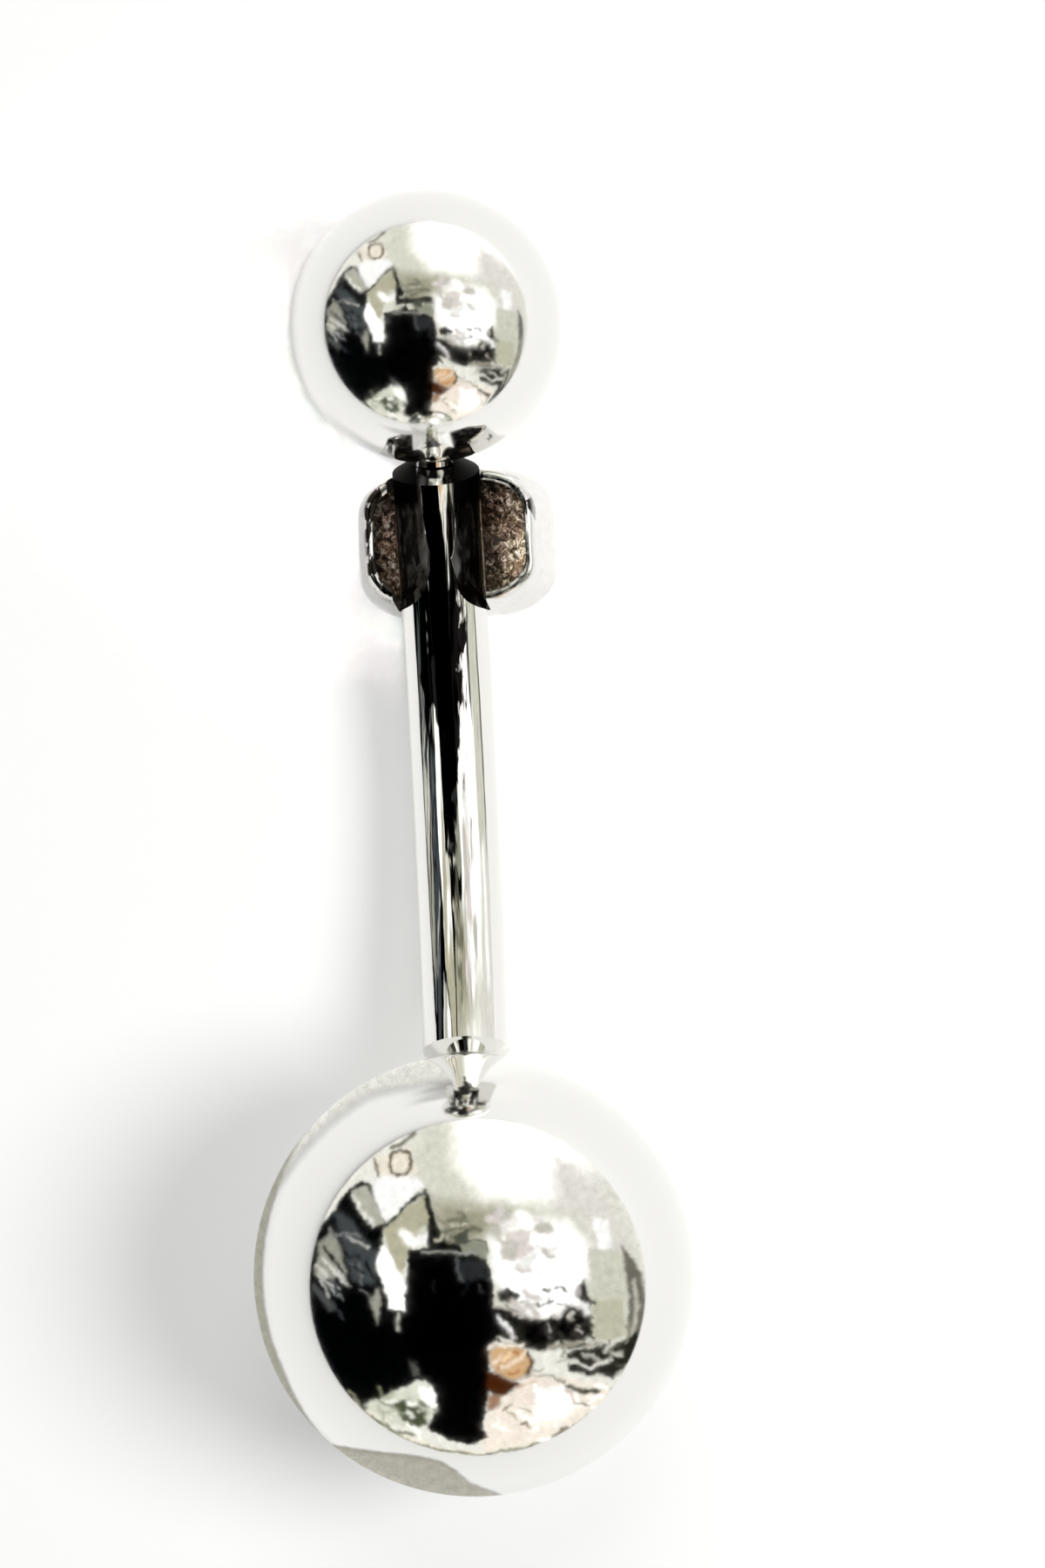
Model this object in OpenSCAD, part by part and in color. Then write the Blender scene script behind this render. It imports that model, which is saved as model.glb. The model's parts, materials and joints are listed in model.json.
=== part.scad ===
// Navel ring: a curved barbell with a ball screwed on each end, and beside the
// small ball a deep collet, open at the back, that the bar lies across.
// A cushion-shaped crystal sits at the collet's front, under the bar.
// It lies as by itself: the large ball and the collet's front edge touch z = 0.
// +X runs from the small ball to the large ball, and the bar sags between them.

/* [Bar] */
// Diameter of the bar, 14 gauge wire
bar_d = 1.6; // [1.4:0.1:1.8]
// Straight distance between the two ends of the bar's arc
bar_chord = 10.65; // [9.5:0.05:12]
// Half of the angle that the bar bends through, in degrees
bend_half_angle = 22; // [18:1:26]
// Length of the taper at each end of the bar
end_taper = 0.22; // [0.15:0.01:0.4]

/* [Thread stubs] */
// Diameter of the stub that each ball screws on
stub_d = 0.9; // [0.7:0.05:1.1]
// Length of the stub that is inside a ball
stub_reach = 1.6; // [1.2:0.1:1.8]
// Gap between the end of the taper and the ball
seat_gap = 0.08; // [0.05:0.01:0.15]
// Clearance of the hole round the stub, on the radius
thread_clearance = 0.04; // [0.02:0.01:0.08]
// Depth of the hole past the end of the stub
hole_run_out = 0.2; // [0.1:0.05:0.4]
// How far the stub runs back into the bar
stub_root = 1; // [0.6:0.1:1.5]

/* [Balls] */
// Diameter of the small ball
small_ball_d = 5; // [4.6:0.1:5.4]
// Diameter of the large ball
large_ball_d = 8; // [7:0.1:9]
// Height of the small ball's underside over the surface
small_ball_lift = 0.8; // [0.6:0.05:1]

/* [Collet] */
// Distance from the small ball's centre to the collet's centre
collet_from_ball = 3.88; // [3.7:0.02:4.2]
// Sideways place of the collet, off the bar's centre line
collet_side = 0.24; // [0:0.02:0.3]
// Half length of the back rim, along the bar
rim_half_length = 1.18; // [1.1:0.01:1.25]
// Half width of the back rim, across the bar
rim_half_width = 1.52; // [1.45:0.01:1.6]
// How far the wall flares along the bar on its way to the front edge
flare_length = 0.2; // [0.1:0.01:0.25]
// How far the wall flares across the bar on its way to the front edge
flare_width = 0.32; // [0.2:0.01:0.35]
// Radius of the corners as a share of the half sizes
corner_share = 0.6; // [0.5:0.05:0.8]
// Thickness of the collet's wall
collet_wall = 0.17; // [0.12:0.01:0.22]
// Height of the back rim over the bar's centre line at the collet
rim_rise = 1.9; // [1.4:0.05:2.2]
// Gap beside the bar in the two slots that it lies in
slot_gap = 0.05; // [0:0.01:0.1]
// Height of the lip that holds the crystal at the front edge
lip_height = 0.14; // [0.1:0.01:0.2]
// How far the lip reaches in past the wall
lip_reach = 0.14; // [0.1:0.01:0.2]

/* [Crystal] */
// Gap between the crystal's girdle and the wall
crystal_gap = 0.03; // [0.02:0.01:0.05]
// Depth of the table behind the front edge
table_inset = 0.08; // [0.05:0.01:0.12]
// Height of the crown, from table to girdle
crown_h = 0.34; // [0.25:0.01:0.4]
// Height of the girdle
girdle_h = 0.05; // [0.03:0.01:0.08]
// Gap between the crystal's point and the bar
culet_gap = 0.1; // [0.06:0.02:0.2]
// Size of the table as a share of the girdle
table_share = 0.58; // [0.5:0.01:0.65]

/* [Hidden] */

round_fn = 64;      // round solids
wall_steps = 9;     // steps round each corner of the collet
girdle_steps = 3;   // steps round each corner of the crystal's girdle
table_steps = 1;    // steps round each corner of the crystal's table
culet_share = 0.06; // culet as a share of the girdle
skin = 0.01;        // thickness of a slice that a hull spans
overcut = 0.1;      // how far a cut runs past what it cuts

small_r = small_ball_d / 2;
large_r = large_ball_d / 2;
bend_r = bar_chord / 2 / sin(bend_half_angle);

// Distance from an end of the arc to the centre of the ball there
small_arm = end_taper + seat_gap + small_r;
large_arm = end_taper + seat_gap + large_r;
stub_length = end_taper + seat_gap + stub_reach;

// Line between the ball centres, along the bar and up, in the bar's own frame
reach_x = bar_chord + (small_arm + large_arm) * cos(bend_half_angle);
reach_z = (large_arm - small_arm) * sin(bend_half_angle);
centre_distance = norm([reach_x, reach_z]);

// Heights of the ball centres where the ring lies, and the turn that gives them
small_z = small_r + small_ball_lift;
large_z = large_r;
rest_slope = asin((large_z - small_z) / centre_distance);
rest_turn = rest_slope - atan2(reach_z, reach_x);
small_x = (small_r - large_r - centre_distance * cos(rest_slope)) / 2;

// Middle of the bend: it lies on the line square to the chord at its middle
arc_from_ball_x = small_arm * cos(bend_half_angle) + bar_chord / 2;
arc_from_ball_z = bend_r * cos(bend_half_angle) - small_arm * sin(bend_half_angle);
bend_x = small_x + arc_from_ball_x * cos(rest_turn) - arc_from_ball_z * sin(rest_turn);
bend_z = small_z + arc_from_ball_x * sin(rest_turn) + arc_from_ball_z * cos(rest_turn);

// Height of the bar's centre line over a place along X
function bar_z(x) = bend_z - sqrt(bend_r * bend_r - (x - bend_x) * (x - bend_x));

collet_x = small_x + collet_from_ball;
collet_h = bar_z(collet_x) + rim_rise;
girdle_z = table_inset + crown_h;
bar_slope = asin((bend_x - collet_x) / bend_r);
culet_z = bar_z(collet_x) - bar_d / 2 / cos(bar_slope) - culet_gap;

// Half sizes of the collet's outside at a height over the front edge
function wall_length(z) = rim_half_length + flare_length * (1 - z / collet_h);
function wall_width(z) = rim_half_width + flare_width * (1 - z / collet_h);

// Corners of a rounded rectangle, each quarter turned in a few steps
function cushion(half_length, half_width, steps) =
    [for (corner = [0:3], i = [0:steps])
        let (turn = 90 * (corner + i / steps),
             end = corner == 0 || corner == 3 ? 1 : -1,
             side = corner < 2 ? 1 : -1)
        [half_length * ((1 - corner_share) * end + corner_share * cos(turn)),
         half_width * ((1 - corner_share) * side + corner_share * sin(turn))]];

// Puts its children in the bar's own frame: the chord on X, the sag below it
module in_bar_frame() {
    translate([small_x, 0, small_z])
        rotate([0, -rest_turn, 0])
            translate([small_arm * cos(bend_half_angle) + bar_chord / 2, 0,
                       -small_arm * sin(bend_half_angle)])
                children();
}

// Puts its children on an end of the bar, +Z along the stub; side is -1 or 1
module at_end(side) {
    in_bar_frame()
        translate([side * bar_chord / 2, 0, 0])
            rotate([0, side * (90 - bend_half_angle), 0])
                children();
}

module bar_arc() {
    in_bar_frame()
        translate([0, 0, bend_r * cos(bend_half_angle)])
            rotate([90, 0, 0])
                rotate([0, 0, -90 - bend_half_angle])
                    rotate_extrude(angle = 2 * bend_half_angle, $fn = 4 * round_fn)
                        translate([bend_r, 0])
                            circle(d = bar_d, $fn = round_fn);
}

module bar_end(side) {
    at_end(side) {
        cylinder(h = end_taper, d1 = bar_d, d2 = stub_d, $fn = round_fn);
        translate([0, 0, -stub_root])
            cylinder(h = stub_root + stub_length, d = stub_d, $fn = round_fn);
    }
}

// Flared block between two heights, smaller than the collet by inset all round
module flared_block(z0, z1, inset) {
    length0 = wall_length(z0) - inset;
    width0 = wall_width(z0) - inset;
    translate([collet_x, collet_side, z0])
        linear_extrude(height = z1 - z0,
                       scale = [(wall_length(z1) - inset) / length0, (wall_width(z1) - inset) / width0])
            polygon(cushion(length0, width0, wall_steps));
}

// Slots in both ends of the wall, from the bar's centre line up past the rim
module bar_slots() {
    slot_w = bar_d + 2 * slot_gap;
    slot_reach = rim_half_length + flare_length + overcut;
    translate([collet_x, 0, bar_z(collet_x)])
        rotate([0, bar_slope, 0])
            translate([-slot_reach, -slot_w / 2, 0])
                cube([2 * slot_reach, slot_w, 2 * slot_reach]);
}

module collet() {
    difference() {
        flared_block(0, collet_h, 0);
        flared_block(lip_height, collet_h + overcut, collet_wall);
        flared_block(-overcut, lip_height + overcut, collet_wall + lip_reach);
        bar_slots();
    }
}

module curved_bar() {
    color("silver")
        union() {
            bar_arc();
            bar_end(-1);
            bar_end(1);
            collet();
        }
}

// Ball with the blind hole for the stub
module ball(side, radius) {
    at_end(side)
        difference() {
            translate([0, 0, end_taper + seat_gap + radius])
                sphere(r = radius, $fn = 2 * round_fn);
            translate([0, 0, end_taper - overcut])
                cylinder(h = stub_length - end_taper + hole_run_out + overcut,
                         r = stub_d / 2 + thread_clearance, $fn = round_fn);
        }
}

module small_ball() {
    color("lightgray") ball(-1, small_r);
}

module large_ball() {
    color("lightgray") ball(1, large_r);
}

// One slice of the crystal at a height
module crystal_slice(z, share, steps, height = skin) {
    length = wall_length(girdle_z) - collet_wall - crystal_gap;
    width = wall_width(girdle_z + girdle_h) - collet_wall - crystal_gap;
    translate([collet_x, collet_side, z])
        linear_extrude(height = height)
            polygon(cushion(share * length, share * width, steps));
}

module crystal() {
    color("saddlebrown")
        hull() {
            crystal_slice(table_inset, table_share, table_steps);
            crystal_slice(girdle_z, 1, girdle_steps, girdle_h);
            crystal_slice(culet_z - skin, culet_share, table_steps);
        }
}

curved_bar();
small_ball();
large_ball();
crystal();
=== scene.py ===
import json
import math
import random

import bpy
import numpy as np
from mathutils import Matrix, Vector, noise


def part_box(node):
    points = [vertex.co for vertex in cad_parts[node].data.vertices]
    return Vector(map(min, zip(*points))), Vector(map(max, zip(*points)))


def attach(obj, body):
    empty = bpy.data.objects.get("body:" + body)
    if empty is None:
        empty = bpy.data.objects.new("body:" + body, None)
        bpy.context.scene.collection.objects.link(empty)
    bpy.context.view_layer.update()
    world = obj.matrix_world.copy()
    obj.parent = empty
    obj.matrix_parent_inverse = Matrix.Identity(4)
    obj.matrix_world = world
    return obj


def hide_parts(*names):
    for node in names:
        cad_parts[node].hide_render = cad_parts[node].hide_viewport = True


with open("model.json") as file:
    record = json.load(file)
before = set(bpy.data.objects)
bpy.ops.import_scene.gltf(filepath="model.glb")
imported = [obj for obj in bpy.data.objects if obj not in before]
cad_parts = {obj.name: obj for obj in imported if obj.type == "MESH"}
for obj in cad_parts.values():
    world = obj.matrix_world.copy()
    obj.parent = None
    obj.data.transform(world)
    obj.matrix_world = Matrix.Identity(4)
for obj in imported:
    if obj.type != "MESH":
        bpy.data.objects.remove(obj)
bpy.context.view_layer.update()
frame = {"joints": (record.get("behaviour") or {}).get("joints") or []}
mm = 0.001
print("frame loaded")


# the photo's own numbers, in its pixels
photo = {
    "width": 1200,
    "height": 1800,
    "perMm": 63.5,  # scale in the plane of the ball centres
    "largeBall": (545.0, 1463.5),
    "smallBall": (487.0, 373.0),
    "mirroredRoom": (548.5, 1478.0),  # middle of the room's round image in the large ball
    "mirroredRoomRadius": 193.0,
}


def only(*pieces):  # select these alone, in object mode
    if bpy.context.object and bpy.context.object.mode != "OBJECT":
        bpy.ops.object.mode_set(mode="OBJECT")
    bpy.ops.object.select_all(action="DESELECT")
    for piece in pieces:
        piece.select_set(True)
    if pieces:
        bpy.context.view_layer.objects.active = pieces[0]


def named(name):  # the piece just added
    piece = bpy.context.object
    piece.name = name
    piece.data.name = name
    return piece


def settle(piece):  # its place goes into its mesh
    only(piece)
    bpy.ops.object.transform_apply(location=True, rotation=True, scale=True)


def editWhere(piece, test, kind="VERT"):  # edit mode with what passes the test selected
    only(piece)
    bpy.ops.object.mode_set(mode="EDIT")
    bpy.ops.mesh.select_mode(type=kind)
    bpy.ops.mesh.select_all(action="DESELECT")
    bpy.ops.object.mode_set(mode="OBJECT")
    things = {"VERT": piece.data.vertices, "EDGE": piece.data.edges, "FACE": piece.data.polygons}[kind]
    for thing in things:
        thing.select = test(thing)
    bpy.ops.object.mode_set(mode="EDIT")


def finishMesh(piece, smoothAngle=40):
    only(piece)
    bpy.ops.object.mode_set(mode="EDIT")
    bpy.ops.mesh.select_all(action="SELECT")
    bpy.ops.mesh.remove_doubles(threshold=0.0005 * mm)
    bpy.ops.mesh.normals_make_consistent(inside=False)
    bpy.ops.object.mode_set(mode="OBJECT")
    bpy.ops.object.shade_smooth_by_angle(angle=math.radians(smoothAngle))


# balls, from the frame
def ballOf(node):
    low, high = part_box(node)
    return (low + high) / 2, (high.z - low.z) / 2


smallCentre, smallRadius = ballOf("small_ball")
largeCentre, largeRadius = ballOf("large_ball")
offWay = {j["child"]: Vector(j["axis"]).normalized() for j in frame["joints"]}
print("balls found")


# camera
cameraPlace = {
    "distance": 110 * mm,
    "footpoint": (425.0, 870.0),  # photo pixel straight under the lens
    "sideways": 5.8 * mm,  # the ring lies turned a little about its length
    "clip": (1 * mm, 10),
}

tilt = Vector((*photo["largeBall"], 0)) - Vector((*photo["smallBall"], 0))
tilt.normalize()  # the ring's +X in the photo, right and down


def worldAt(pixel):  # photo pixel to X, Y in the plane of the ball centres
    dx = pixel[0] - photo["largeBall"][0]
    dy = pixel[1] - photo["largeBall"][1]
    along = (dx * tilt.x + dy * tilt.y) / photo["perMm"] * mm
    across = (dx * tilt.y - dy * tilt.x) / photo["perMm"] * mm
    return Vector((largeCentre.x + along, across, largeCentre.z))


foot = worldAt(cameraPlace["footpoint"])
aim = worldAt((photo["width"] / 2, photo["height"] / 2))
lens = foot + Vector((0, cameraPlace["sideways"], cameraPlace["distance"]))
back = (lens - aim).normalized()
up = Vector((-tilt.y, tilt.x, 0))
right = up.cross(back).normalized()
up = back.cross(right).normalized()
cameraData = bpy.data.cameras.new("photoCamera")
camera = bpy.data.objects.new("photoCamera", cameraData)
bpy.context.scene.collection.objects.link(camera)
camera.matrix_world = Matrix(
    (
        (right.x, up.x, back.x, lens.x),
        (right.y, up.y, back.y, lens.y),
        (right.z, up.z, back.z, lens.z),
        (0, 0, 0, 1),
    )
)
halfHeight = photo["height"] / 2 / photo["perMm"] * mm
cameraData.sensor_fit = "VERTICAL"
cameraData.angle = 2 * math.atan(halfHeight / (lens - aim).length)
cameraData.clip_start, cameraData.clip_end = cameraPlace["clip"]
bpy.context.scene.camera = camera
bpy.context.scene.view_settings.view_transform = "Standard"
print("camera set")


# materials
def newMaterial(name):
    material = bpy.data.materials.new(name)
    material.use_nodes = True
    tree = material.node_tree
    return material, tree, tree.nodes["Principled BSDF"]


def feed(tree, value, socket):  # a value is a plain one or another node's socket
    if isinstance(value, bpy.types.NodeSocket):
        tree.links.new(value, socket)
    else:
        socket.default_value = value


def mathNode(tree, operation, a, b=0.0):
    node = tree.nodes.new("ShaderNodeMath")
    node.operation = operation
    feed(tree, a, node.inputs[0])
    feed(tree, b, node.inputs[1])
    return node.outputs[0]


def rangeNode(tree, value, ends, toEnds=(0.0, 1.0)):
    node = tree.nodes.new("ShaderNodeMapRange")
    sockets = ("Value", "From Min", "From Max", "To Min", "To Max")
    for name, given in zip(sockets, (value, *ends, *toEnds)):
        feed(tree, given, node.inputs[name])
    return node.outputs["Result"]


def axesOf(tree, vector):
    node = tree.nodes.new("ShaderNodeSeparateXYZ")
    tree.links.new(vector, node.inputs[0])
    return tuple(node.outputs)


def noiseNode(tree, place, settings, stretch=None):
    node = tree.nodes.new("ShaderNodeTexNoise")
    for name, value in settings.items():
        feed(tree, value, node.inputs[name])
    if stretch is not None:
        mapping = tree.nodes.new("ShaderNodeMapping")
        feed(tree, stretch, mapping.inputs["Scale"])
        tree.links.new(place, mapping.inputs["Vector"])
        place = mapping.outputs["Vector"]
    tree.links.new(place, node.inputs["Vector"])
    return node.outputs["Fac"]


def rampNode(tree, value, stops):  # each stop is a position and a colour
    node = tree.nodes.new("ShaderNodeValToRGB")
    tree.links.new(value, node.inputs["Fac"])
    elements = node.color_ramp.elements
    elements[0].position, elements[0].color = stops[0]
    elements[1].position, elements[1].color = stops[-1]
    for position, colour in stops[1:-1]:
        elements.new(position).color = colour
    return node.outputs["Color"]


def mixNode(tree, share, a, b):
    node = tree.nodes.new("ShaderNodeMix")
    node.data_type = "RGBA"
    feed(tree, share, node.inputs["Factor"])
    feed(tree, a, node.inputs["A"])
    feed(tree, b, node.inputs["B"])
    return node.outputs["Result"]


polishLook = {
    "waveDetail": 2,
    "speckDetail": 4,
    "speckFineness": 4,  # times the waves'
    "speckLevels": (0.4, 0.7),
    "waveDepth": 0.01 * mm,
}


def buildPolishMarks():  # fine unevenness of polished steel
    group = bpy.data.node_groups.new("polishMarks", "ShaderNodeTree")
    for name, way, kind in (
        ("Scale", "INPUT", "NodeSocketFloat"),
        ("Stretch", "INPUT", "NodeSocketVector"),
        ("Smooth", "INPUT", "NodeSocketFloat"),
        ("Rough", "INPUT", "NodeSocketFloat"),
        ("Roughness", "OUTPUT", "NodeSocketFloat"),
        ("Height", "OUTPUT", "NodeSocketFloat"),
    ):
        group.interface.new_socket(name=name, in_out=way, socket_type=kind)
    given = group.nodes.new("NodeGroupInput").outputs
    result = group.nodes.new("NodeGroupOutput").inputs
    place = group.nodes.new("ShaderNodeTexCoord").outputs["Object"]
    coarse = {"Scale": given["Scale"], "Detail": polishLook["waveDetail"]}
    finer = mathNode(group, "MULTIPLY", given["Scale"], polishLook["speckFineness"])
    fine = {"Scale": finer, "Detail": polishLook["speckDetail"]}
    specks = noiseNode(group, place, fine, given["Stretch"])
    roughness = rangeNode(group, specks, polishLook["speckLevels"], (given["Smooth"], given["Rough"]))
    group.links.new(roughness, result["Roughness"])
    group.links.new(noiseNode(group, place, coarse, given["Stretch"]), result["Height"])
    return group


polishMarks = buildPolishMarks()

steelLooks = {  # colour, scale and stretch of the marks, smoothest and roughest, bump
    "ballSteel": ((0.87, 0.865, 0.84), 1500, (1, 1, 1), 0.06, 0.09, 0.05),
    "smallBallSteel": ((0.87, 0.865, 0.84), 1500, (1, 1, 1), 0.08, 0.13, 0.05),
    "barSteel": ((0.86, 0.855, 0.83), 2600, (0.3, 1, 1), 0.02, 0.06, 0.3),
    "colletSilver": ((0.72, 0.71, 0.68), 1800, (1, 1, 1), 0.12, 0.3, 0.4),
}


def steel(name):
    colour, scale, stretch, smooth, rough, bump = steelLooks[name]
    material, tree, shader = newMaterial(name)
    shader.inputs["Base Color"].default_value = (*colour, 1)
    shader.inputs["Metallic"].default_value = 1
    marks = tree.nodes.new("ShaderNodeGroup")
    marks.node_tree = polishMarks
    for socket, value in (("Scale", scale), ("Stretch", stretch), ("Smooth", smooth), ("Rough", rough)):
        marks.inputs[socket].default_value = value
    tree.links.new(marks.outputs["Roughness"], shader.inputs["Roughness"])
    relief = tree.nodes.new("ShaderNodeBump")
    relief.inputs["Strength"].default_value = bump
    relief.inputs["Distance"].default_value = polishLook["waveDepth"]
    tree.links.new(marks.outputs["Height"], relief.inputs["Height"])
    tree.links.new(relief.outputs["Normal"], shader.inputs["Normal"])
    return material, tree, shader, marks.outputs["Roughness"]


ballSteel = steel("ballSteel")[0]
smallBallSteel = steel("smallBallSteel")[0]

# the bar's flanks are painted black beside the solder, between the collet and the small ball, as painted
# dark reflection;
# a streak of painted dark reflection on its top thins out toward the middle, and its neck is duller
barMarks = {
    "paintedDarkReflection": (0.008, 0.007, 0.007, 1),
    "flankStart": (-6.05 * mm, -6.2 * mm),
    "flankEdge": (0.28 * mm, 0.34 * mm),
    "flankDull": 0.6,
    "flankDullFrom": (0.97, 1),
    "streakOffset": 0.05 * mm,
    "streakTaper": (0.1 * mm, -2.9 * mm),
    "streakHalf": (0, 0.36 * mm),
    "streakEdge": (0.02 * mm, -0.02 * mm),
    "streakEnds": ((-4.75 * mm, -4.55 * mm), (0.35 * mm, 0.05 * mm)),
    "streakFacing": (0.5, 0.6),
    "raggedNoise": {"Scale": 1500, "Detail": 4},
    "raggedStretch": (0.5, 2, 2),
    "raggedDepth": 0.9 * mm,
    "neckStart": (3.84 * mm, 3.92 * mm),
    "neckDull": 0.3,
}
barSteel, barTree, barShader, barPolish = steel("barSteel")
barPlace = barTree.nodes.new("ShaderNodeTexCoord").outputs
barX, barY, _ = axesOf(barTree, barPlace["Object"])
_, _, barFacingUp = axesOf(barTree, barPlace["Normal"])
alongFlank = rangeNode(barTree, barX, barMarks["flankStart"])
acrossFlank = rangeNode(barTree, mathNode(barTree, "ABSOLUTE", barY), barMarks["flankEdge"])
flank = mathNode(barTree, "MULTIPLY", alongFlank, acrossFlank)
ragged = noiseNode(barTree, barPlace["Object"], barMarks["raggedNoise"], barMarks["raggedStretch"])
ragged = mathNode(barTree, "SUBTRACT", ragged, 0.5)
ragged = mathNode(barTree, "MULTIPLY", ragged, barMarks["raggedDepth"])
offStreak = mathNode(barTree, "ADD", barY, barMarks["streakOffset"])
offStreak = mathNode(barTree, "ABSOLUTE", offStreak)
streakHalf = rangeNode(barTree, barX, barMarks["streakTaper"], barMarks["streakHalf"])
pastStreak = mathNode(barTree, "SUBTRACT", offStreak, streakHalf)
pastStreak = mathNode(barTree, "ADD", pastStreak, ragged)
streak = rangeNode(barTree, pastStreak, barMarks["streakEdge"])
limits = [rangeNode(barTree, barX, ends) for ends in barMarks["streakEnds"]]
limits.append(rangeNode(barTree, barFacingUp, barMarks["streakFacing"]))
for limit in limits:
    streak = mathNode(barTree, "MULTIPLY", streak, limit)
# painted dark reflection: where the streak or the flank mask is set, the bar's colour turns near black
paintedDarkReflection = mathNode(barTree, "MAXIMUM", streak, flank)
barColour = mixNode(barTree, paintedDarkReflection, (*steelLooks["barSteel"][0], 1), barMarks["paintedDarkReflection"])
neckDull = rangeNode(barTree, barX, barMarks["neckStart"], (0, barMarks["neckDull"]))
flankDull = rangeNode(barTree, flank, barMarks["flankDullFrom"], (0, barMarks["flankDull"]))
dull = mathNode(barTree, "ADD", neckDull, flankDull)
barTree.links.new(barColour, barShader.inputs["Base Color"])
barTree.links.new(mathNode(barTree, "ADD", barPolish, dull), barShader.inputs["Roughness"])

# the collet's inside is painted black and dark brown as painted shade, and dark specks gather near its rim,
# more on the left
colletMarks = {
    "shadeNoise": {"Scale": 2600, "Detail": 3},
    "shadeTones": ((0.5, (0.006, 0.005, 0.004, 1)), (0.75, (0.1, 0.09, 0.08, 1))),
    "tarnish": (0.03, 0.025, 0.02, 1),
    "speckNoise": {"Scale": 3500, "Detail": 5},
    "speckStretch": (0.6, 1, 0.35),
    "speckHeights": (2.2 * mm, 3.3 * mm),
    "speckSides": (1.4 * mm, -0.9 * mm),
    "speckLevels": (0.62, 0.5),
    "speckEdge": (0, 0.02),
}
colletSilver, colletTree, colletShader, _ = steel("colletSilver")
insideMask = colletTree.nodes.new("ShaderNodeAttribute")
insideMask.attribute_name = "inside"
paintedShadeMask = insideMask.outputs["Fac"]
colletPlace = colletTree.nodes.new("ShaderNodeTexCoord").outputs["Object"]
_, colletY, colletZ = axesOf(colletTree, colletPlace)
paintedShadeTone = noiseNode(colletTree, colletPlace, colletMarks["shadeNoise"])
paintedShadeTone = rampNode(colletTree, paintedShadeTone, colletMarks["shadeTones"])
colletColour = mixNode(colletTree, paintedShadeMask, (*steelLooks["colletSilver"][0], 1), paintedShadeTone)
specks = noiseNode(colletTree, colletPlace, colletMarks["speckNoise"], colletMarks["speckStretch"])
speckLevel = rangeNode(colletTree, colletY, colletMarks["speckSides"], colletMarks["speckLevels"])
specks = mathNode(colletTree, "SUBTRACT", specks, speckLevel)
specks = rangeNode(colletTree, specks, colletMarks["speckEdge"])
nearRim = rangeNode(colletTree, colletZ, colletMarks["speckHeights"])
specks = mathNode(colletTree, "MULTIPLY", specks, nearRim)
colletColour = mixNode(colletTree, specks, colletColour, colletMarks["tarnish"])
colletTree.links.new(colletColour, colletShader.inputs["Base Color"])
colletTree.links.new(mathNode(colletTree, "SUBTRACT", 1.0, paintedShadeMask), colletShader.inputs["Metallic"])

# the crystal's colour is painted brighter at the right and toward the bar's middle, as painted light
crystalLook = {
    "surface": {"Roughness": 0.12, "Coat Weight": 0.6, "Coat Roughness": 0.05},
    "mottle": {"Scale": 9000, "Detail": 8, "Roughness": 0.7, "Distortion": 0.8},
    "tones": (
        (0.42, (0.02, 0.012, 0.007, 1)),
        (0.54, (0.2, 0.14, 0.085, 1)),
        (0.66, (1.0, 0.92, 0.78, 1)),
    ),
    "paintedLightRight": ((1.0 * mm, 1.55 * mm), (0.2, 2.4)),
    "paintedLightLeft": ((-0.6 * mm, -0.9 * mm), (0.1, 0.35)),
    "paintedLightTowardMiddle": ((-6.6 * mm, -5.0 * mm), (0.7, 1.3)),
}
crystalBrown, crystalTree, crystalShader = newMaterial("crystalBrown")
for socket, value in crystalLook["surface"].items():
    crystalShader.inputs[socket].default_value = value
crystalPlace = crystalTree.nodes.new("ShaderNodeTexCoord").outputs["Object"]
crystalX, crystalY, _ = axesOf(crystalTree, crystalPlace)
mottle = noiseNode(crystalTree, crystalPlace, crystalLook["mottle"])
mottle = rampNode(crystalTree, mottle, crystalLook["tones"])
paintedLightRight = rangeNode(crystalTree, crystalY, *crystalLook["paintedLightRight"])
paintedLightLeft = rangeNode(crystalTree, crystalY, *crystalLook["paintedLightLeft"])
paintedLight = mathNode(crystalTree, "MAXIMUM", paintedLightRight, paintedLightLeft)
paintedLightTowardMiddle = rangeNode(crystalTree, crystalX, *crystalLook["paintedLightTowardMiddle"])
paintedLight = mathNode(crystalTree, "MULTIPLY", paintedLight, paintedLightTowardMiddle)
lit = crystalTree.nodes.new("ShaderNodeVectorMath")
lit.operation = "SCALE"
crystalTree.links.new(mottle, lit.inputs[0])
crystalTree.links.new(paintedLight, lit.inputs["Scale"])
crystalTree.links.new(lit.outputs["Vector"], crystalShader.inputs["Base Color"])

floorLook = {"Base Color": (0.9, 0.9, 0.89, 1), "Roughness": 1, "Specular IOR Level": 0}
floorPale, _, floorShader = newMaterial("floorPale")
for socket, value in floorLook.items():
    floorShader.inputs[socket].default_value = value
print("materials made")


def dress(piece, material, body, slot, *nodes):
    piece.data.materials.clear()
    piece.data.materials.append(material)
    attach(piece, body)
    if nodes:
        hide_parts(*nodes)


# balls with a blind hole for the stub
ballMesh = {
    "segments": 160,
    "rings": 80,
    "boreRadius": 0.49 * mm,
    "boreDepth": 1.8 * mm,
    "pickMargin": 0.001 * mm,
}


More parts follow.
